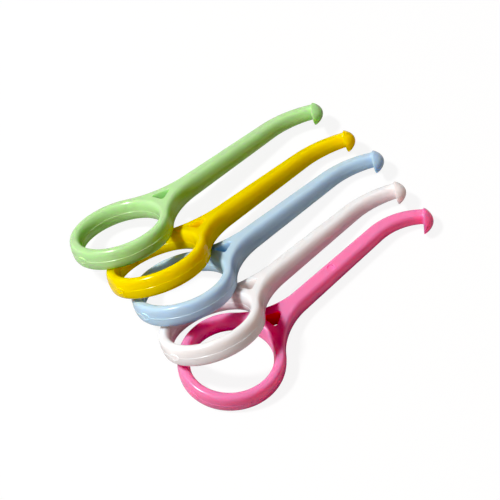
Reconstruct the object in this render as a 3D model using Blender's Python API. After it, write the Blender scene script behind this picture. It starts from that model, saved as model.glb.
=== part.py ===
"""A fanned set of five moulded finger-ring hooks, each a single solid in its own colour.

Run with: blender --background --python part.py
Every hook is the same moulding: a finger ring, a web with a small three-sided window, a tapering
arm that turns to one side near its end, and a domed head whose rim hooks under an edge.
The hooks lie fanned on a flat surface at z = 0, each leaning on the one before it.
"""

import math

import bmesh
import bpy
from mathutils import Euler, Matrix, Vector

MM = 0.001

# Finger ring
RING_OUTER_RADIUS = 14.0 * MM
RING_INNER_RADIUS = 10.8 * MM
RING_HALF_HEIGHT = 2.85 * MM

# Web between the ring and the arm
WEB_FILLET_RADIUS = 20.0 * MM
WINDOW_BASE_X = 14.1 * MM
WINDOW_TIP_X = 18.6 * MM
WINDOW_HALF_WIDTH = 2.3 * MM
WINDOW_CORNER_RADIUS = 0.5 * MM

# Arm, measured along its centreline from the centre of the ring
ARM_LENGTH = 69.3 * MM
ARM_HALF_WIDTH = 2.4 * MM
ARM_HALF_WIDTH_AT_BEND = 2.15 * MM
ARM_TIP_HALF_WIDTH = 1.6 * MM
ARM_TIP_HALF_HEIGHT = 1.9 * MM
BEND_START = 54.8 * MM
BEND_ANGLE = math.radians(47.0)

# Domed head at the end of the arm
HEAD_HALF_WIDTH = 3.9 * MM
HEAD_HALF_HEIGHT = 2.85 * MM
HEAD_DEPTH = 2.6 * MM
HEAD_RIM = 0.25 * MM
HEAD_SHIFT = 1.5 * MM
HEAD_OVERLAP = 0.7 * MM

# Moulded edges: a superellipse from the side wall to the flat land on top
EDGE_ROUND = 1.35 * MM
ARM_EDGE_ROUND_SHARE = 0.45
WINDOW_EDGE_ROUND = 0.4 * MM
EDGE_POWER = 2.6

# Fineness of the mesh
RING_STEP = math.radians(9.0)
EDGE_ANGLES = [math.radians(a) for a in (0.0, 35.0, 65.0, 90.0)]
FILLET_STEPS = 6
BEND_STEPS = 7
CORNER_STEPS = 3
HEAD_SEGMENTS = 20
HEAD_RINGS = 3

# Where each hook lies, measured from the centre of the lowest ring: the centre of its own ring
# (x, y, z) in millimetres, then its turn about Z, its dip towards the head and its lean towards
# the far side, in degrees. FAN_CENTRE is the middle of the whole fan, which is the origin.
PLACES = {
    "pink_hook": ((0.0, 0.0, 2.85), 0.0, 0.0, 0.0),
    "white_hook": ((1.28, 7.84, 9.25), 1.99, 6.63, 27.31),
    "blue_hook": ((5.69, 22.33, 8.64), -0.26, 5.94, 24.82),
    "yellow_hook": ((5.71, 31.55, 11.27), 0.55, 8.21, 30.64),
    "green_hook": ((6.84, 46.73, 10.0), -1.08, 6.11, 25.45),
}
FAN_CENTRE = (31.33, 23.01, 0.0)

COLOURS = {
    "pink_hook": (0.83, 0.10, 0.32),
    "white_hook": (0.86, 0.85, 0.84),
    "blue_hook": (0.35, 0.56, 0.78),
    "yellow_hook": (0.86, 0.62, 0.0),
    "green_hook": (0.33, 0.72, 0.22),
}


def clear_scene():
    for item in list(bpy.data.objects):
        bpy.data.objects.remove(item, do_unlink=True)


def web_end():
    """Distance along the arm at which the web's fillet arc runs out into the arm's side."""
    radius, half = WEB_FILLET_RADIUS, ARM_HALF_WIDTH
    return math.sqrt((RING_OUTER_RADIUS + radius) ** 2 - (half + radius) ** 2)


def web_start_angle():
    """Angle on the ring at which the web's fillet arc leaves it."""
    return math.atan2(ARM_HALF_WIDTH + WEB_FILLET_RADIUS, web_end())


def arm_half_width(s):
    """Half the arm's width at the distance s along its centreline."""
    end = web_end()
    if s < end:
        radius = WEB_FILLET_RADIUS
        return ARM_HALF_WIDTH + radius - math.sqrt(radius**2 - (end - s) ** 2)
    if s < BEND_START:
        t = (s - end) / (BEND_START - end)
        return ARM_HALF_WIDTH + t * (ARM_HALF_WIDTH_AT_BEND - ARM_HALF_WIDTH)
    t = min(1.0, (s - BEND_START) / (ARM_LENGTH - BEND_START))
    return ARM_HALF_WIDTH_AT_BEND + t * (ARM_TIP_HALF_WIDTH - ARM_HALF_WIDTH_AT_BEND)


def arm_frame(s):
    """Centreline point and unit direction at the distance s; the arm turns towards -Y."""
    if s <= BEND_START:
        return Vector((s, 0.0)), Vector((1.0, 0.0))
    bend_length = ARM_LENGTH - BEND_START
    radius = bend_length / BEND_ANGLE
    angle = min(s - BEND_START, bend_length) / radius
    point = Vector((BEND_START + radius * math.sin(angle), radius * (math.cos(angle) - 1.0)))
    direction = Vector((math.cos(angle), -math.sin(angle)))
    return point + direction * max(0.0, s - ARM_LENGTH), direction


def half_height(x):
    """Half the moulding's thickness: constant over the ring and web, then a straight taper."""
    tip_x = arm_frame(ARM_LENGTH)[0].x
    start = web_end()
    t = min(1.0, max(0.0, (x - start) / (tip_x - start)))
    return RING_HALF_HEIGHT + t * (ARM_TIP_HALF_HEIGHT - RING_HALF_HEIGHT)


def arm_side(s, side):
    point, direction = arm_frame(s)
    return point + side * arm_half_width(s) * Vector((-direction.y, direction.x))


def outer_outline():
    """The outline of ring, web and arm as (point, edge round), anticlockwise from the upper web."""
    start = web_start_angle()
    steps = round((2.0 * math.pi - 2.0 * start) / RING_STEP)
    points = []
    for i in range(steps + 1):
        angle = start + (2.0 * math.pi - 2.0 * start) * i / steps
        point = RING_OUTER_RADIUS * Vector((math.cos(angle), math.sin(angle)))
        points.append((point, EDGE_ROUND))
    web_x = RING_OUTER_RADIUS * math.cos(start)
    web = [web_x + (web_end() - web_x) * i / FILLET_STEPS for i in range(1, FILLET_STEPS + 1)]
    bend_length = ARM_LENGTH + HEAD_OVERLAP - BEND_START
    bend = [BEND_START + bend_length * i / BEND_STEPS for i in range(BEND_STEPS + 1)]
    stations = web + bend
    rounds = [min(EDGE_ROUND, ARM_EDGE_ROUND_SHARE * arm_half_width(s)) for s in stations]
    sides = list(zip(stations, rounds))
    points += [(arm_side(s, -1.0), edge_round) for s, edge_round in sides]
    points += [(arm_side(s, 1.0), edge_round) for s, edge_round in reversed(sides)]
    return points


def ring_hole():
    """The finger hole, clockwise, so that the material lies on the left of it as on the outline."""
    count = round(2.0 * math.pi / RING_STEP)
    angles = [-2.0 * math.pi * i / count for i in range(count)]
    return [(RING_INNER_RADIUS * Vector((math.cos(a), math.sin(a))), EDGE_ROUND) for a in angles]


def window():
    """The three-sided window in the web, clockwise, with rounded corners."""
    corners = [
        Vector((WINDOW_BASE_X, -WINDOW_HALF_WIDTH)),
        Vector((WINDOW_BASE_X, WINDOW_HALF_WIDTH)),
        Vector((WINDOW_TIP_X, 0.0)),
    ]
    points = []
    for i, corner in enumerate(corners):
        before = (corners[i - 1] - corner).normalized()
        after = (corners[(i + 1) % 3] - corner).normalized()
        half = before.angle(after) / 2.0
        centre = corner + (before + after).normalized() * WINDOW_CORNER_RADIUS / math.sin(half)
        first = corner + before * WINDOW_CORNER_RADIUS / math.tan(half) - centre
        sweep = math.pi - 2.0 * half
        for k in range(CORNER_STEPS + 1):
            turned = first.copy()
            turned.rotate(Matrix.Rotation(-sweep * k / CORNER_STEPS, 2))
            points.append((centre + turned, WINDOW_EDGE_ROUND))
    return points


def inward_normals(points):
    """Mitred normals pointing into the material, which lies on the left of the loop."""
    normals = []
    for i, point in enumerate(points):
        a = (point - points[i - 1]).normalized()
        b = (points[(i + 1) % len(points)] - point).normalized()
        na, nb = Vector((-a.y, a.x)), Vector((-b.y, b.x))
        normals.append((na + nb) / (1.0 + na.dot(nb)))
    return normals


def edge_profile():
    """Rows of (share of the half height, share of the edge round) from the underside to the top."""
    upper = []
    for angle in EDGE_ANGLES:
        height = math.sin(angle) ** (2.0 / EDGE_POWER)
        inset = 1.0 - max(0.0, math.cos(angle)) ** (2.0 / EDGE_POWER)
        upper.append((height, inset))
    return [(-height, inset) for height, inset in reversed(upper[1:])] + upper


def moulded_plate(loops):
    """A closed solid from flat loops of (point, edge round): walls, then top and underside."""
    bm = bmesh.new()
    rims = {"top": [], "underside": []}
    for loop in loops:
        points = [point for point, _ in loop]
        normals = inward_normals(points)
        rows = []
        for height, inset in edge_profile():
            row = []
            for (point, edge_round), normal in zip(loop, normals):
                moved = point + normal * inset * edge_round
                row.append(bm.verts.new((moved.x, moved.y, height * half_height(moved.x))))
            rows.append(row)
        count = len(points)
        for low, high in zip(rows, rows[1:]):
            for i in range(count):
                j = (i + 1) % count
                bm.faces.new((low[i], low[j], high[j], high[i]))
        rims["underside"] += [bm.edges.get((rows[0][i], rows[0][i - 1])) for i in range(count)]
        rims["top"] += [bm.edges.get((rows[-1][i], rows[-1][i - 1])) for i in range(count)]
    for rim in rims.values():
        bmesh.ops.triangle_fill(bm, edges=rim, use_beauty=True)
    bmesh.ops.recalc_face_normals(bm, faces=bm.faces)
    return bm


def domed_head():
    """The head: a flat oval back, a thin rim and a dome, its axis along the end of the arm."""
    bm = bmesh.new()
    rows = [(0.0, 1.0)]
    for k in range(HEAD_RINGS + 1):
        angle = math.radians(90.0) * k / (HEAD_RINGS + 1)
        rise = HEAD_RIM + (HEAD_DEPTH - HEAD_RIM) * math.sin(angle)
        rows.append((rise, math.cos(angle)))
    rings = []
    for rise, share in rows:
        ring = []
        for i in range(HEAD_SEGMENTS):
            a = 2.0 * math.pi * i / HEAD_SEGMENTS
            y, z = HEAD_HALF_WIDTH * math.cos(a), HEAD_HALF_HEIGHT * math.sin(a)
            ring.append(bm.verts.new((rise, share * y, share * z)))
        rings.append(ring)
    crown = bm.verts.new((HEAD_DEPTH, 0.0, 0.0))
    bm.faces.new(rings[0])
    for low, high in zip(rings, rings[1:]):
        for i in range(HEAD_SEGMENTS):
            bm.faces.new((low[i - 1], low[i], high[i], high[i - 1]))
    for i in range(HEAD_SEGMENTS):
        bm.faces.new((rings[-1][i - 1], rings[-1][i], crown))
    bmesh.ops.recalc_face_normals(bm, faces=bm.faces)
    end, direction = arm_frame(ARM_LENGTH)
    inner = Vector((direction.y, -direction.x))
    centre = end + inner * HEAD_SHIFT
    turn = Matrix.Rotation(math.atan2(direction.y, direction.x), 4, "Z")
    bm.transform(Matrix.Translation((centre.x, centre.y, 0.0)) @ turn)
    return bm


def temporary_object(name, bm):
    mesh = bpy.data.meshes.new(name)
    bm.to_mesh(mesh)
    bm.free()
    item = bpy.data.objects.new(name, mesh)
    bpy.context.scene.collection.objects.link(item)
    return item


def hook_mesh():
    """The whole moulding as one mesh in its own frame: ring centre at the origin, arm along +X."""
    loops = [outer_outline(), ring_hole(), window()]
    plate = temporary_object("plate", moulded_plate(loops))
    head = temporary_object("head", domed_head())
    union = plate.modifiers.new("head", "BOOLEAN")
    union.operation = "UNION"
    union.solver = "EXACT"
    union.object = head
    bpy.context.view_layer.update()
    evaluated = plate.evaluated_get(bpy.context.evaluated_depsgraph_get())
    mesh = bpy.data.meshes.new_from_object(evaluated)
    mesh.name = "hook"
    for item in (plate, head):
        bpy.data.objects.remove(item, do_unlink=True)
    mesh.shade_smooth()
    mesh.set_sharp_from_angle(angle=math.radians(40.0))
    return mesh


def plastic(name, colour):
    material = bpy.data.materials.new(name)
    material.use_nodes = True
    shader = material.node_tree.nodes["Principled BSDF"]
    shader.inputs["Base Color"].default_value = (*colour, 1.0)
    shader.inputs["Roughness"].default_value = 0.3
    shader.inputs["Metallic"].default_value = 0.0
    return material


def place_hooks(mesh):
    mesh.materials.clear()
    mesh.materials.append(None)
    for name, ((x, y, z), turn, dip, lean) in PLACES.items():
        item = bpy.data.objects.new(name, mesh)
        bpy.context.scene.collection.objects.link(item)
        item.location = (Vector((x, y, z)) - Vector(FAN_CENTRE)) * MM
        item.rotation_euler = Euler([math.radians(a) for a in (-lean, dip, turn)], "XYZ")
        item.material_slots[0].link = "OBJECT"
        item.material_slots[0].material = plastic(name, COLOURS[name])


def main():
    clear_scene()
    place_hooks(hook_mesh())


main()
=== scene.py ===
"""Looks for the fanned set of finger-ring hooks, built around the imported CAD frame.

Every hook is one glossy, slightly translucent plastic moulding. The fine mouldings below stand for
the plain CAD nodes: they have the same size and place, and add the parting line, the gate mark, the
ejector-pin mark, the short neck, the head's crisp rim and smooth edges.
"""

import math

import bmesh
import bpy
import numpy as np
from mathutils import Matrix, Vector, noise
from mathutils.geometry import delaunay_2d_cdt


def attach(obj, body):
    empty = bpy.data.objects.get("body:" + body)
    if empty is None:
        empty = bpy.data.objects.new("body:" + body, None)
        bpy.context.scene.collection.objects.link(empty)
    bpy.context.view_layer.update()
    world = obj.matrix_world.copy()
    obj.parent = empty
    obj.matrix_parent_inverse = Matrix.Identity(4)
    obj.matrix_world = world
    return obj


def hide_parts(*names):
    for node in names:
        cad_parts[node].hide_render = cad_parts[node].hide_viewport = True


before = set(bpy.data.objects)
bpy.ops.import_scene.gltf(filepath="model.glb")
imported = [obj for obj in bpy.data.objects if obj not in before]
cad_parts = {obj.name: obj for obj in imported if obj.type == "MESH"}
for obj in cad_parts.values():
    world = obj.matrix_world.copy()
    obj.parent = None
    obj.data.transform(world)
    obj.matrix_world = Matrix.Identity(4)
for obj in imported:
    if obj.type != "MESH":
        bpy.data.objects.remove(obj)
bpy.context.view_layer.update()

MM = 0.001

# The moulding, in millimetres, with the CAD's main sizes and finer corners
RING_OUTER = 14.0
RING_INNER = 10.8
RING_HALF_HEIGHT = 2.85
WEB_FILLET = 20.0
WINDOW_BASE_X = 14.1
WINDOW_TIP_X = 18.6
WINDOW_HALF_WIDTH = 2.3
WINDOW_CORNER = 0.42
ARM_LENGTH = 69.3
ARM_HALF_WIDTH = 2.4
ARM_HALF_WIDTH_AT_BEND = 2.15
ARM_TIP_HALF_WIDTH = 1.6
ARM_TIP_HALF_HEIGHT = 1.9
BEND_START = 54.8
BEND_ANGLE = math.radians(47.0)
HEAD_HALF_WIDTH = 3.9
HEAD_HALF_HEIGHT = 2.85
HEAD_DEPTH = 2.6
HEAD_SHIFT = 1.5
HEAD_OVERLAP = 0.7
HEAD_BACK_ROUND = 0.04
HEAD_BACK_SHARE = 0.985
HEAD_SKIN_FROM = 0.015
HEAD_RIM = 0.12
HEAD_DOME_POWER = 0.82
NECK_LENGTH = 0.7
NECK_FLARE = 0.14

# How the walls round over into the flat lands above and below, in millimetres and as curve powers
EDGE_ROUND = 1.35
ARM_EDGE_ROUND_SHARE = 0.64
HOLE_EDGE_ROUND = 1.45
WINDOW_EDGE_ROUND = 0.32
RING_EDGE_POWER = 3.1
HOLE_EDGE_POWER = 2.35
ARM_EDGE_POWER = 2.5
EDGE_DEGREES = (14, 24, 34, 43, 51, 58, 65, 72, 79, 85, 90)
LAND_STRIP = 0.05

# How finely the outlines are divided, in millimetres, and what counts as a sliver or a sharp edge
RING_STEP = 0.6
WEB_STEP = 0.75
ARM_STEP = 2.0
BEND_STEP = 0.8
NECK_STEP = 0.12
HOLE_SEGMENTS = 112
WINDOW_CORNER_STEPS = 8
HEAD_SEGMENTS = 72
HEAD_RINGS = 14
MARK_SEGMENTS = 48
SLIVER = 0.002
SHARP_EDGE = math.radians(38.0)

# Marks that the mould leaves, in millimetres
PARTING_RIDGE = 0.035
PARTING_STEP = 1.5
PARTING_HALF_WIDTH = 0.1
ARM_RIDGE_SHARE = 0.3
DRAFT = 0.02
GATE_RADIUS = 1.05
GATE_STRETCH = 1.55
GATE_RIM = 0.12
GATE_FLOOR = 0.05
GATE_ROOT = 0.6
GATE_TEAR = 1.5
GATE_TEAR_SCALE = 2.6
GATE_TEAR_PLACE = Vector((3.0, 1.0, 4.0))
PIN_MARKED_HOOK = "pink"
PIN_MARK_AT = 37.4
PIN_MARK_RADIUS = 1.1
PIN_MARK_TAPER = 0.86
PIN_MARK_DEPTH = 0.36

# The hook that lies flat with its arm along +X, and the centre of its ring in millimetres. Every
# other hook's place is measured from the CAD solids.
FLAT_HOOK = "pink"
FLAT_RING = Vector((-31.33, -23.01, 2.85))

# Base colour, and how far light of each colour travels inside the plastic, in millimetres
PLASTICS = {
    "pink": ((0.9, 0.24, 0.455), (8.0, 0.4, 1.2)),
    "white": ((0.835, 0.835, 0.84), (4.0, 2.6, 2.2)),
    "blue": ((0.48, 0.66, 0.815), (0.4, 1.0, 2.4)),
    "yellow": ((0.83, 0.645, 0.004), (4.5, 2.2, 0.1)),
    "green": ((0.47, 0.76, 0.36), (0.6, 2.6, 0.2)),
}

# The plastic's surface: gloss, and the fineness of each kind of unevenness in cycles a metre
PLASTIC_IOR = 1.49
TRANSLUCENCY = 0.85
BODY_ROUGHNESS = 0.22
HEAD_ROUGHNESS = 0.3
DARKEST_TINT = 0.965
DRIFT_SCALE = 55.0
GLOSS_SCALE = 240.0
PEEL_SCALE = 900.0
HANDLING_SCALE = 4200.0
HANDLING_SHARE = 0.2
NOISE_ROUGHNESS = 0.55
NOISE_MIDDLE = (0.3, 0.7)
GLOSS_SPREAD = (-0.03, 0.04)
RELIEF_STRENGTH = 0.018
RELIEF_HEIGHT = 0.0001

# The camera, looking down at the fan over the rings, from the pink hook's side
CAMERA_TARGET = Vector((-0.0035, -0.0028, 0.005))
CAMERA_DISTANCE = 0.6076
CAMERA_AZIMUTH = math.radians(41.62)
CAMERA_ELEVATION = math.radians(52.12)
CAMERA_ROLL = math.radians(5.61)
CAMERA_LENS = 165.6
CAMERA_SENSOR = 36.0
CAMERA_CLIP = (0.01, 20.0)

# One lamp, a warm dim room, and a white table and backdrop
KEY_DIRECTION = (-0.428, 0.359, 0.829)
KEY_DISTANCE = 1.6
KEY_SIZE = 0.16
KEY_POWER = 27.5
KEY_COLOUR = (1.0, 1.0, 1.0)
ROOM_LIGHT = 0.262
ROOM_COLOUR = (1.0, 0.82, 0.74)
BACKDROP = 0.96
FLOOR_HALF_SIZE = 3.0
FLOOR_DROP = 0.0001
FLOOR_SHADE = 0.9
FLOOR_BOUNCE = 0.52
FLOOR_GLOW = 0.9
BLACK_LEVEL = 0.055


# ---------------------------------------------------------------- the moulding's outline


def web_end():
    """Distance along the arm at which the web's fillet runs out into the arm's side."""
    return math.sqrt((RING_OUTER + WEB_FILLET) ** 2 - (ARM_HALF_WIDTH + WEB_FILLET) ** 2)


def arm_half_width(s):
    """Half the width of web and arm at the distance s, without the neck."""
    end = web_end()
    if s < end:
        return ARM_HALF_WIDTH + WEB_FILLET - math.sqrt(WEB_FILLET**2 - (end - s) ** 2)
    if s < BEND_START:
        t = (s - end) / (BEND_START - end)
        return ARM_HALF_WIDTH + t * (ARM_HALF_WIDTH_AT_BEND - ARM_HALF_WIDTH)
    t = min(1.0, (s - BEND_START) / (ARM_LENGTH - BEND_START))
    return ARM_HALF_WIDTH_AT_BEND + t * (ARM_TIP_HALF_WIDTH - ARM_HALF_WIDTH_AT_BEND)


def arm_frame(s):
    """Centreline point and direction at the distance s from the ring's centre."""
    if s <= BEND_START:
        return Vector((s, 0.0)), Vector((1.0, 0.0))
    bend_length = ARM_LENGTH - BEND_START
    radius = bend_length / BEND_ANGLE
    angle = min(s - BEND_START, bend_length) / radius
    point = Vector((BEND_START + radius * math.sin(angle), radius * (math.cos(angle) - 1.0)))
    direction = Vector((math.cos(angle), -math.sin(angle)))
    return point + direction * max(0.0, s - ARM_LENGTH), direction


def half_height(x):
    """Half the height of the plate, which thins from the web's end to the arm's tip."""
    tip_x = arm_frame(ARM_LENGTH)[0].x
    t = min(1.0, max(0.0, (x - web_end()) / (tip_x - web_end())))
    return RING_HALF_HEIGHT + t * (ARM_TIP_HALF_HEIGHT - RING_HALF_HEIGHT)


def neck_flare(s):
    """How far the arm spreads out where it runs into the head's back."""
    t = max(0.0, 1.0 - (ARM_LENGTH - s) / NECK_LENGTH) if s <= ARM_LENGTH else 1.0
    return NECK_FLARE * t * t


def arm_side(s, side):
    """Point of the arm's outline: side is -1 to the right of the arm and 1 to its left."""
    point, direction = arm_frame(s)
    reach = arm_half_width(s) + neck_flare(s)
    return point + side * reach * Vector((-direction.y, direction.x))


def spaced(start, stop, step):
    """Evenly spread values from start to stop, both included, about step apart."""
    count = max(1, round(abs(stop - start) / step))
    return [start + (stop - start) * i / count for i in range(count + 1)]


def outer_outline():
    """Ring, web and arm, anticlockwise.

    Each entry is (point, inward normal, edge round, edge power, parting ridge, extra height).
    """
    start = math.atan2(ARM_HALF_WIDTH + WEB_FILLET, web_end())
    angles = spaced(start, 2.0 * math.pi - start, RING_STEP / RING_OUTER)
    points = [RING_OUTER * Vector((math.cos(a), math.sin(a))) for a in angles]
    traits = [(EDGE_ROUND, RING_EDGE_POWER, PARTING_RIDGE, 0.0)] * len(points)

    web_x = RING_OUTER * math.cos(start)
    stations = spaced(web_x, web_end(), WEB_STEP)[1:]
    stations += spaced(web_end(), BEND_START, ARM_STEP)[1:]
    stations += spaced(BEND_START, ARM_LENGTH - NECK_LENGTH, BEND_STEP)[1:]
    stations += spaced(ARM_LENGTH - NECK_LENGTH, ARM_LENGTH, NECK_STEP)[1:]
    stations += [ARM_LENGTH + HEAD_OVERLAP]
    side_traits = []
    for s in stations:
        t = min(1.0, (s - web_x) / (web_end() - web_x))
        arm_edge = ARM_EDGE_ROUND_SHARE * min(ARM_HALF_WIDTH, arm_half_width(s))
        edge = EDGE_ROUND + t * (arm_edge - EDGE_ROUND)
        power = RING_EDGE_POWER + t * (ARM_EDGE_POWER - RING_EDGE_POWER)
        ridge = PARTING_RIDGE * (1.0 + t * (ARM_RIDGE_SHARE - 1.0))
        side_traits.append((edge, power, ridge, neck_flare(s)))
    sides = [(s, -1.0) for s in stations] + [(s, 1.0) for s in reversed(stations)]
    points += [arm_side(s, side) for s, side in sides]
    traits = traits + side_traits + side_traits[::-1]

    normals = inward_normals(points)
    for i, (s, side) in enumerate(sides, len(angles)):
        if s > ARM_LENGTH - NECK_LENGTH:
            _, along = arm_frame(s)
            normals[i] = -side * Vector((-along.y, along.x))
    return [(point, normal, *trait) for point, normal, trait in zip(points, normals, traits)]


def ring_hole():
    """The finger hole, clockwise, with entries like those of the outer outline."""
    angles = [-2.0 * math.pi * i / HOLE_SEGMENTS for i in range(HOLE_SEGMENTS)]
    outward = [Vector((math.cos(a), math.sin(a))) for a in angles]
    traits = (HOLE_EDGE_ROUND, HOLE_EDGE_POWER, PARTING_RIDGE, 0.0)
    return [(RING_INNER * direction, direction, *traits) for direction in outward]


def window():
    """The three-sided window in the web, clockwise, with rounded corners and straight-sided runs."""
    corners = [
        Vector((WINDOW_BASE_X, -WINDOW_HALF_WIDTH)),
        Vector((WINDOW_BASE_X, WINDOW_HALF_WIDTH)),
        Vector((WINDOW_TIP_X, 0.0)),
    ]
    points = []
    for i, corner in enumerate(corners):
        before = (corners[i - 1] - corner).normalized()
        after = (corners[(i + 1) % 3] - corner).normalized()
        half = before.angle(after) / 2.0
        centre = corner + (before + after).normalized() * WINDOW_CORNER / math.sin(half)
        first = corner + before * WINDOW_CORNER / math.tan(half) - centre
        for k in range(WINDOW_CORNER_STEPS + 1):
            turned = first.copy()
            sweep = (math.pi - 2.0 * half) * k / WINDOW_CORNER_STEPS
            turned.rotate(Matrix.Rotation(-sweep, 2))
            points.append(centre + turned)
    normals = inward_normals(points)
    traits = (WINDOW_EDGE_ROUND, RING_EDGE_POWER, 0.0, 0.0)
    return [(point, normal, *traits) for point, normal in zip(points, normals)]


def inward_normals(points):
    """Mitred normals into the material, which lies on the left of the loop."""
    normals = []
    for i, point in enumerate(points):
        a = (point - points[i - 1]).normalized()
        b = (points[(i + 1) % len(points)] - point).normalized()
        na, nb = Vector((-a.y, a.x)), Vector((-b.y, b.x))
        normals.append((na + nb) / (1.0 + na.dot(nb)))
    return normals


# ---------------------------------------------------------------- the moulding's walls


def wall_rows(half, edge_round, power):
    """(height, inset) of a wall's upper half, from beside the parting line up to the flat land."""
    rows = [(PARTING_HALF_WIDTH, 0.0), (1.3 * PARTING_HALF_WIDTH, 0.0)]
    for degrees in EDGE_DEGREES:
        angle = math.radians(degrees)
        share = math.sin(angle) ** (2.0 / power)
        inset = edge_round * (1.0 - max(0.0, math.cos(angle)) ** (2.0 / power))
        rows.append((half * share, inset))
    rows = [(z, inset + DRAFT * min(1.0, z / half)) for z, inset in rows]
    rows.append((half, rows[-1][1] + LAND_STRIP))
    return rows


def parted(rows, ridge):
    """The whole wall from bottom to top, with a fine burr and a step where the mould parts."""
    step = PARTING_STEP * ridge
    w = PARTING_HALF_WIDTH
    seam = [(-0.4 * w, -0.8 * ridge), (0.0, -ridge), (0.5 * w, 0.6 * step)]
    lower = [(-z, inset) for z, inset in reversed(rows)]
    return lower + seam + [(z, inset + step) for z, inset in rows]


def moulded_plate():
    """The closed solid of ring, web and arm."""
    bm = bmesh.new()
    rims = {1.0: [], -1.0: []}
    for loop in (outer_outline(), ring_hole(), window()):
        columns = []
        for point, normal, edge_round, power, ridge, rise in loop:
            column = []
            half = half_height(point.x) + rise
            for z, inset in parted(wall_rows(half, edge_round, power), ridge):
                moved = point + normal * inset
                at_land = abs(z) >= half - 1e-9
                height = math.copysign(half_height(moved.x) + rise, z) if at_land else z
                column.append(bm.verts.new((moved.x, moved.y, height)))
            columns.append(column)
        count = len(columns)
        for i in range(count):
            left, right = columns[i], columns[(i + 1) % count]
            for k in range(len(left) - 1):
                bm.faces.new((left[k], right[k], right[k + 1], left[k + 1]))
        for side, row in ((-1.0, 0), (1.0, -1)):
            rims[side] += [
                bm.edges.get((columns[i][row], columns[i - 1][row])) for i in range(count)
            ]
    for rim in rims.values():
        fill_land(bm, rim)
    bmesh.ops.recalc_face_normals(bm, faces=bm.faces)
    return bm


def fill_land(bm, rim):
    """Triangles of the flat land between the edges of its outer outline and of the openings in it."""
    verts = list({vert: None for edge in rim for vert in edge.verts})
    index = {vert: i for i, vert in enumerate(verts)}
    sides = [(index[edge.verts[0]], index[edge.verts[1]]) for edge in rim]
    flat = [vert.co.xy for vert in verts]
    _, _, triangles, origins, _, _ = delaunay_2d_cdt(flat, sides, [], 0, 1e-7)
    for triangle in triangles:
        corners = [verts[origins[i][0]] for i in triangle]
        middle = sum((corner.co.xy for corner in corners), Vector((0.0, 0.0))) / 3.0
        crossings = 0
        for a, b in sides:
            (ax, ay), (bx, by) = flat[a], flat[b]
            if (ay > middle.y) != (by > middle.y):
                crossings += middle.x < ax + (middle.y - ay) * (bx - ax) / (by - ay)
        if crossings % 2:
            bm.faces.new(corners)


def head_place():
    """The head's own frame: its back in the YZ plane, its crown along +X."""
    end, direction = arm_frame(ARM_LENGTH)
    centre = end + Vector((direction.y, -direction.x)) * HEAD_SHIFT
    turn = Matrix.Rotation(math.atan2(direction.y, direction.x), 4, "Z")
    return Matrix.Translation((centre.x, centre.y, 0.0)) @ turn


def domed_head():
    """The head: a flat back, a crisp rim and a cap whose sides meet the rim at a slant."""
    rows = [(0.0, HEAD_BACK_SHARE), (HEAD_BACK_ROUND, 1.0), (HEAD_RIM, 1.0)]
    for step in range(1, HEAD_RINGS):
        share = math.cos(math.radians(90.0 * step / HEAD_RINGS))
        rise = (1.0 - share**2) ** HEAD_DOME_POWER
        rows.append((HEAD_RIM + (HEAD_DEPTH - HEAD_RIM) * rise, share))
    bm = bmesh.new()
    rings = []
    for rise, share in rows:
        ring = []
        for i in range(HEAD_SEGMENTS):
            a = 2.0 * math.pi * i / HEAD_SEGMENTS
            y, z = HEAD_HALF_WIDTH * math.cos(a), HEAD_HALF_HEIGHT * math.sin(a)
            ring.append(bm.verts.new((rise, share * y, share * z)))
        rings.append(ring)
    crown = bm.verts.new((HEAD_DEPTH, 0.0, 0.0))
    bm.faces.new(rings[0])
    for low, high in zip(rings, rings[1:]):
        for i in range(HEAD_SEGMENTS):
            bm.faces.new((low[i - 1], low[i], high[i], high[i - 1]))
    for i in range(HEAD_SEGMENTS):
        bm.faces.new((rings[-1][i - 1], rings[-1][i], crown))
    bmesh.ops.recalc_face_normals(bm, faces=bm.faces)
    bm.transform(head_place())
    return bm


def turned_disc(profile):
    """A closed solid of revolution about Z through (radius, height) points, from the bottom up."""
    bm = bmesh.new()
    rings = []
    for radius, height in profile:
        ring = []
        for i in range(MARK_SEGMENTS):
            a = 2.0 * math.pi * i / MARK_SEGMENTS
            ring.append(bm.verts.new((radius * math.cos(a), radius * math.sin(a), height)))
        rings.append(ring)
    bm.faces.new(rings[0])
    bm.faces.new(rings[-1])
    for low, high in zip(rings, rings[1:]):
        for i in range(MARK_SEGMENTS):
            bm.faces.new((low[i - 1], low[i], high[i], high[i - 1]))
    bmesh.ops.recalc_face_normals(bm, faces=bm.faces)
    return bm


def pin_mark_cutter():
    """A shallow round sink in the arm's upper face, left by an ejector pin."""
    floor = (PIN_MARK_TAPER * PIN_MARK_RADIUS, -PIN_MARK_DEPTH)
    bm = turned_disc((floor, (PIN_MARK_RADIUS, 0.5 * PIN_MARK_DEPTH)))
    bm.transform(Matrix.Translation((PIN_MARK_AT, 0.0, half_height(PIN_MARK_AT))))
    return bm


def gate_scar():
    """The trimmed gate on the ring's far end: a torn floor inside a raised, uneven rim."""
    profile = (
        (GATE_RADIUS, -GATE_ROOT),
        (GATE_RADIUS, 0.55 * GATE_RIM),
        (0.92 * GATE_RADIUS, GATE_RIM),
        (0.82 * GATE_RADIUS, 0.95 * GATE_RIM),
        (0.7 * GATE_RADIUS, GATE_FLOOR),
        (0.4 * GATE_RADIUS, 0.8 * GATE_FLOOR),
    )
    bm = turned_disc(profile)
    for vert in bm.verts:
        if vert.co.z > 0.0:
            torn = noise.noise(vert.co * GATE_TEAR_SCALE + GATE_TEAR_PLACE)
            vert.co.z *= 1.0 + GATE_TEAR * torn
        vert.co.y *= GATE_STRETCH
        vert.co.z += math.sqrt(RING_OUTER**2 - vert.co.y**2)
    bm.transform(Matrix.Rotation(math.radians(-90.0), 4, "Y"))
    return bm


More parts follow.
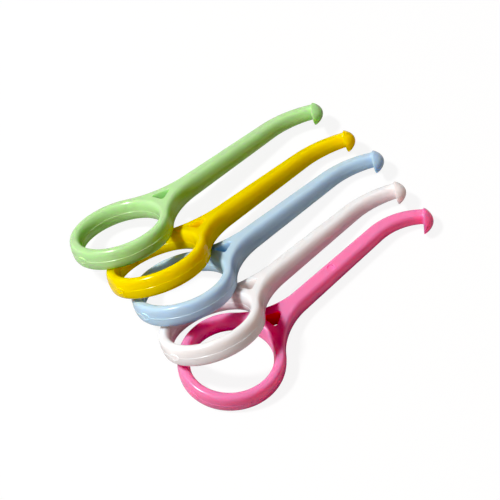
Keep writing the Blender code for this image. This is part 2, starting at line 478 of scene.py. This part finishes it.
def temporary_object(name, bm):
    """An object that takes over the mesh being built."""
    mesh = bpy.data.meshes.new(name)
    bm.to_mesh(mesh)
    bm.free()
    item = bpy.data.objects.new(name, mesh)
    bpy.context.scene.collection.objects.link(item)
    return item


def moulding_mesh(pin_marked):
    """One hook in metres, its ring's centre at the origin and its arm along +X."""
    plate = temporary_object("plate", moulded_plate())
    joined = [
        (temporary_object("head", domed_head()), "UNION"),
        (temporary_object("gate", gate_scar()), "UNION"),
    ]
    if pin_marked:
        joined.append((temporary_object("pin_mark", pin_mark_cutter()), "DIFFERENCE"))
    for item, operation in joined:
        step = plate.modifiers.new(item.name, "BOOLEAN")
        step.operation = operation
        step.solver = "EXACT"
        step.object = item
    bpy.context.view_layer.update()
    evaluated = plate.evaluated_get(bpy.context.evaluated_depsgraph_get())
    mesh = bpy.data.meshes.new_from_object(evaluated)
    for item in [plate] + [item for item, _ in joined]:
        bpy.data.objects.remove(item, do_unlink=True)
    bm = bmesh.new()
    bm.from_mesh(mesh)
    bmesh.ops.dissolve_degenerate(bm, dist=SLIVER, edges=bm.edges)
    bmesh.ops.remove_doubles(bm, verts=bm.verts, dist=SLIVER)
    bmesh.ops.dissolve_degenerate(bm, dist=SLIVER, edges=bm.edges)
    loose = [edge for edge in bm.edges if edge.is_wire]
    bmesh.ops.delete(bm, geom=loose, context="EDGES")
    bm.to_mesh(mesh)
    bm.free()
    mesh.transform(Matrix.Diagonal((MM, MM, MM, 1.0)))
    mesh.shade_smooth()
    mesh.set_sharp_from_angle(angle=SHARP_EDGE)
    mark_head_faces(mesh)
    return mesh


def mark_head_faces(mesh):
    """Faces in front of the head's back take the second slot, whose surface is a little rougher."""
    inverse = head_place().inverted()
    for face in mesh.polygons:
        local = inverse @ (face.center / MM)
        face.material_index = 1 if local.x > HEAD_SKIN_FROM else 0


# ---------------------------------------------------------------- materials


def plastic(name, base, inside, roughness):
    """Glossy moulded plastic: slow colour drift, uneven gloss, faint orange peel, handling marks."""
    material = bpy.data.materials.new(name)
    material.use_nodes = True
    tree = material.node_tree
    shader = tree.nodes["Principled BSDF"]
    shader.inputs["IOR"].default_value = PLASTIC_IOR
    shader.inputs["Specular IOR Level"].default_value = 0.5
    shader.subsurface_method = "BURLEY"
    shader.inputs["Subsurface Weight"].default_value = TRANSLUCENCY
    shader.inputs["Subsurface Radius"].default_value = [reach * MM for reach in inside]
    shader.inputs["Subsurface Scale"].default_value = 1.0
    place = tree.nodes.new("ShaderNodeTexCoord").outputs["Object"]

    def noise_of(scale, detail):
        node = tree.nodes.new("ShaderNodeTexNoise")
        node.inputs["Scale"].default_value = scale
        node.inputs["Detail"].default_value = detail
        node.inputs["Roughness"].default_value = NOISE_ROUGHNESS
        tree.links.new(place, node.inputs["Vector"])
        return node.outputs["Fac"]

    def ranged(value, low, high):
        node = tree.nodes.new("ShaderNodeMapRange")
        node.inputs["From Min"].default_value, node.inputs["From Max"].default_value = NOISE_MIDDLE
        node.inputs["To Min"].default_value = low
        node.inputs["To Max"].default_value = high
        tree.links.new(value, node.inputs["Value"])
        return node.outputs["Result"]

    # Sockets 6 and 7 of a colour mix are its two colours
    tint = tree.nodes.new("ShaderNodeMix")
    tint.data_type = "RGBA"
    tint.inputs[6].default_value = (*[DARKEST_TINT * part for part in base], 1.0)
    tint.inputs[7].default_value = (*base, 1.0)
    tree.links.new(ranged(noise_of(DRIFT_SCALE, 2.0), 0.0, 1.0), tint.inputs[0])
    tree.links.new(tint.outputs[2], shader.inputs["Base Color"])
    gloss = ranged(noise_of(GLOSS_SCALE, 4.0), *[roughness + change for change in GLOSS_SPREAD])
    tree.links.new(gloss, shader.inputs["Roughness"])

    relief = tree.nodes.new("ShaderNodeMix")
    relief.inputs[0].default_value = HANDLING_SHARE
    tree.links.new(noise_of(PEEL_SCALE, 2.0), relief.inputs[2])
    tree.links.new(noise_of(HANDLING_SCALE, 2.0), relief.inputs[3])
    bump = tree.nodes.new("ShaderNodeBump")
    bump.inputs["Strength"].default_value = RELIEF_STRENGTH
    bump.inputs["Distance"].default_value = RELIEF_HEIGHT
    tree.links.new(relief.outputs[0], bump.inputs["Height"])
    tree.links.new(bump.outputs["Normal"], shader.inputs["Normal"])
    return material


def solid_axes(node):
    """A CAD solid's centre of volume and main axes: X towards the head, Z upwards.

    Each triangle spans a signed tetrahedron with the origin, and the solid is their sum.
    """
    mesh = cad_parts[node].data
    mesh.calc_loop_triangles()
    points = np.array([vert.co for vert in mesh.vertices], float)
    a, b, c = (points[[face.vertices[k] for face in mesh.loop_triangles]] for k in range(3))
    volumes = np.einsum("ij,ij->i", a, np.cross(b, c)) / 6.0
    centre = volumes @ (a + b + c) / (4.0 * volumes.sum())
    moments = sum(np.einsum("i,ij,ik->jk", volumes, p, p) for p in (a, b, c, a + b + c))
    spread = moments / (20.0 * volumes.sum()) - np.outer(centre, centre)
    up, _, along = np.linalg.eigh(spread)[1].T
    reach = (points - centre) @ along
    along = along if reach.max() > -reach.min() else -along
    up = up if up[2] > 0.0 else -up
    axes = np.eye(4)
    axes[:3] = np.column_stack((along, np.cross(up, along), up, centre))
    return axes


def place_of(colour):
    """The hook's place: the flat hook's, carried from the flat hook's CAD solid to this one."""
    carried = solid_axes(colour + "_hook") @ np.linalg.inv(solid_axes(FLAT_HOOK + "_hook"))
    return Matrix(carried.tolist()) @ Matrix.Translation(FLAT_RING * MM)


def build_hooks():
    """Five mouldings in their places, each riding on its body in place of its CAD node."""
    meshes = {marked: moulding_mesh(marked) for marked in (False, True)}
    for colour, (base, inside) in PLASTICS.items():
        own = meshes[colour == PIN_MARKED_HOOK].copy()
        own.name = colour + "_moulding"
        own.materials.clear()
        own.materials.append(plastic(colour + "_plastic", base, inside, BODY_ROUGHNESS))
        own.materials.append(plastic(colour + "_head_plastic", base, inside, HEAD_ROUGHNESS))
        own.transform(place_of(colour))
        hook = bpy.data.objects.new(colour + "_moulding", own)
        bpy.context.scene.collection.objects.link(hook)
        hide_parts(colour + "_hook")
        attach(hook, colour)
    for mesh in meshes.values():
        bpy.data.meshes.remove(mesh)


# ---------------------------------------------------------------- floor, light and camera


def seen_as(tree, seen, lit, output):
    """The camera sees one shader; the light that bounces about the studio meets the other."""
    mix = tree.nodes.new("ShaderNodeMixShader")
    tree.links.new(tree.nodes.new("ShaderNodeLightPath").outputs["Is Camera Ray"], mix.inputs[0])
    tree.links.new(lit, mix.inputs[1])
    tree.links.new(seen, mix.inputs[2])
    tree.links.new(mix.outputs[0], output)


def build_floor():
    """A wide pale sheet, evenly white to the eye, on which shadows stay faint."""
    bm = bmesh.new()
    bmesh.ops.create_grid(bm, x_segments=8, y_segments=8, size=FLOOR_HALF_SIZE)
    floor = temporary_object("floor", bm)
    floor.location.z = -FLOOR_DROP
    material = bpy.data.materials.new("pale_table")
    material.use_nodes = True
    tree = material.node_tree
    tree.nodes.clear()
    bounce = tree.nodes.new("ShaderNodeBsdfDiffuse")
    bounce.inputs["Color"].default_value = (FLOOR_BOUNCE, FLOOR_BOUNCE, FLOOR_BOUNCE, 1.0)
    sheet = tree.nodes.new("ShaderNodeBsdfDiffuse")
    sheet.inputs["Color"].default_value = (FLOOR_SHADE, FLOOR_SHADE, FLOOR_SHADE, 1.0)
    glow = tree.nodes.new("ShaderNodeEmission")
    white = tree.nodes.new("ShaderNodeMixShader")
    white.inputs[0].default_value = FLOOR_GLOW
    tree.links.new(sheet.outputs[0], white.inputs[1])
    tree.links.new(glow.outputs[0], white.inputs[2])
    output = tree.nodes.new("ShaderNodeOutputMaterial")
    seen_as(tree, white.outputs[0], bounce.outputs[0], output.inputs["Surface"])
    floor.data.materials.append(material)


def area_light(name, direction, distance, size, power, colour):
    """A square lamp in that direction from the fan, facing it."""
    data = bpy.data.lights.new(name, "AREA")
    data.size = size
    data.energy = power
    data.color = colour
    lamp = bpy.data.objects.new(name, data)
    lamp.location = Vector(direction).normalized() * distance
    lamp.rotation_euler = (-lamp.location).to_track_quat("-Z", "Y").to_euler()
    bpy.context.scene.collection.objects.link(lamp)


def build_light():
    """A key lamp and the room's own soft light, with a white backdrop for the eye."""
    area_light("key", KEY_DIRECTION, KEY_DISTANCE, KEY_SIZE, KEY_POWER, KEY_COLOUR)
    world = bpy.data.worlds.new("studio")
    world.use_nodes = True
    tree = world.node_tree
    tree.nodes.clear()
    room = tree.nodes.new("ShaderNodeBackground")
    room.inputs["Color"].default_value = (*ROOM_COLOUR, 1.0)
    room.inputs["Strength"].default_value = ROOM_LIGHT
    backdrop = tree.nodes.new("ShaderNodeBackground")
    backdrop.inputs["Color"].default_value = (BACKDROP, BACKDROP, BACKDROP, 1.0)
    output = tree.nodes.new("ShaderNodeOutputWorld")
    seen_as(tree, backdrop.outputs[0], room.outputs[0], output.inputs["Surface"])
    bpy.context.scene.world = world


def build_camera():
    """The camera, turned about its own line of sight by the roll."""
    level = Vector((math.sin(CAMERA_AZIMUTH), math.cos(CAMERA_AZIMUTH), 0.0))
    forward = level * math.cos(CAMERA_ELEVATION) - Vector((0, 0, 1)) * math.sin(CAMERA_ELEVATION)
    right = forward.cross(Vector((0.0, 0.0, 1.0))).normalized()
    up = right.cross(forward)
    turn = Matrix((right, up, -forward)).transposed()
    turn = Matrix.Rotation(CAMERA_ROLL, 3, forward) @ turn
    data = bpy.data.cameras.new("camera")
    data.lens = CAMERA_LENS
    data.sensor_width = CAMERA_SENSOR
    data.clip_start, data.clip_end = CAMERA_CLIP
    camera = bpy.data.objects.new("camera", data)
    camera.matrix_world = turn.to_4x4()
    camera.location = CAMERA_TARGET - forward * CAMERA_DISTANCE
    bpy.context.scene.collection.objects.link(camera)
    bpy.context.scene.camera = camera


def set_contrast():
    """The standard view of the scene's colours, with blacks a little deeper."""
    view = bpy.context.scene.view_settings
    view.view_transform = "Standard"
    view.use_curve_mapping = True
    view.curve_mapping.black_level = (BLACK_LEVEL, BLACK_LEVEL, BLACK_LEVEL)
    view.curve_mapping.update()


build_hooks()
build_floor()
build_light()
build_camera()
set_contrast()
